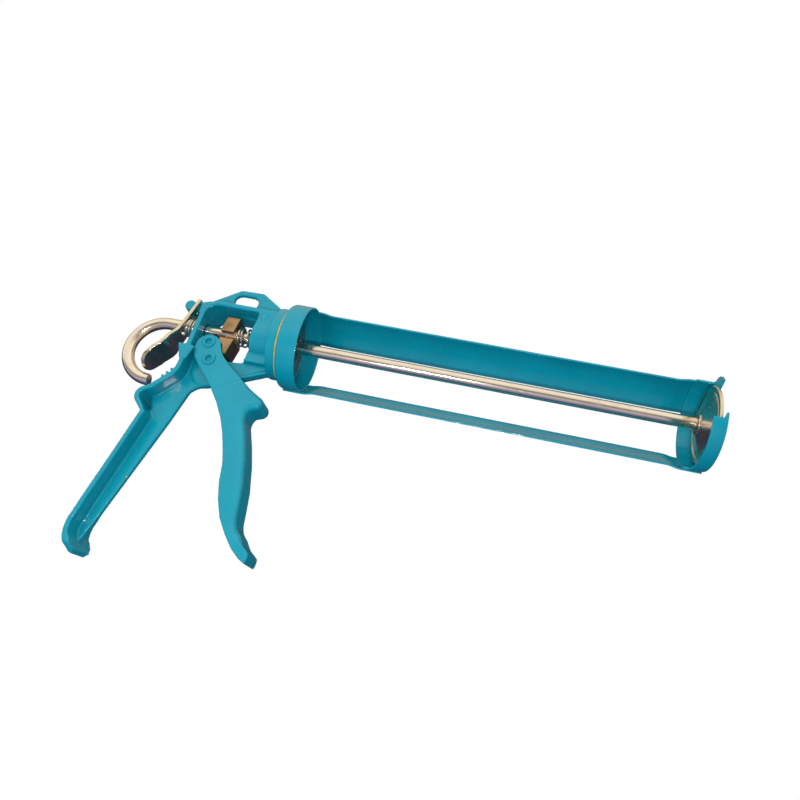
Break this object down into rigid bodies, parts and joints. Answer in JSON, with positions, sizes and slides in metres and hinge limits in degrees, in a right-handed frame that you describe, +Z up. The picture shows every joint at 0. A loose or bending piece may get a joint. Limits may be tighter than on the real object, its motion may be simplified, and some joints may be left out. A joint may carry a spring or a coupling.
{
  "type": "caulking gun",
  "caption": "Hand gun for rigid sealant cartridges: die-cast grip and nose, squeezed trigger, locking plunger rod with pull hook, and a turning two-rail cradle.",
  "frame": {"origin": "centre of the cartridge seat, on the inner face of the rear cup, on the plunger rod's axis", "axes": "+X forward along the plunger rod toward the nozzle slot, +Z up away from the grip, +Y toward the far side of the gun"},
  "size_m": [0.3569, 0.053, 0.1828],
  "materials": {
    "teal_casting": "gloss enamel on die-cast metal",
    "teal_sheet": "gloss enamel on pressed steel",
    "rod_steel": "drawn bright steel, warm tint",
    "plate_steel": "yellow zinc plated",
    "block_steel": "hardened, straw to brown temper",
    "spring_wire": "bright plated wire",
    "dark_steel": "dark oiled",
    "piston_zinc": "zinc plated pressing",
    "yellow_seal": "moulded ring",
    "dark_bush": "moulded bearing bush"
  },
  "bodies": {
    "frame": {"handle_casting": "teal_casting", "seal_ring": "yellow_seal", "rod_bush": "dark_bush", "retainer_plate": "dark_steel", "retainer_screws": "dark_steel", "return_spring": "spring_wire", "release_spring": "spring_wire"},
    "trigger": {"trigger": "teal_casting", "pivot_rivet": "teal_casting", "drive_rivet": "teal_casting", "drive_sleeve": "dark_steel"},
    "grip_block": {"grip_block": "block_steel"},
    "release_plate": {"release_plate": "plate_steel"},
    "plunger": {"plunger_rod": "rod_steel", "piston_washer": "piston_zinc", "piston_disc": "piston_zinc", "piston_nut": "piston_zinc"},
    "cradle": {"rear_cup": "teal_sheet", "wide_rail": "teal_sheet", "narrow_rail": "teal_sheet", "front_ring": "teal_sheet"}
  },
  "joints": [
    {"name": "trigger_squeeze", "type": "hinge", "parent": "frame", "child": "trigger", "pos_m": [-0.044, 0, -0.022], "axis": [0, 1, 0], "range_deg": [0, 30], "stiffness_Nm_per_rad": 0.8, "springref_deg": -20.05},
    {"name": "block_slide", "type": "slide", "parent": "frame", "child": "grip_block", "axis": [1, 0, 0], "range_m": [0, 0.0062], "deforming": ["return_spring"]},
    {"name": "release_tilt", "type": "hinge", "parent": "frame", "child": "release_plate", "pos_m": [-0.0655, 0, 0.0135], "axis": [0, -1, 0], "range_deg": [0, 15], "stiffness_Nm_per_rad": 0.3, "springref_deg": -20.05, "deforming": ["release_spring"]},
    {"name": "plunger_slide", "type": "slide", "parent": "frame", "child": "plunger", "axis": [1, 0, 0], "range_m": [-0.225, 0]},
    {"name": "cradle_turn", "type": "hinge", "parent": "frame", "child": "cradle", "pos_m": [0, 0, 0], "axis": [1, 0, 0], "continuous": true}
  ],
  "couplings": [
    {"joint": "block_slide", "follows": "trigger_squeeze", "m_per_rad": 0.01165}
  ]
}
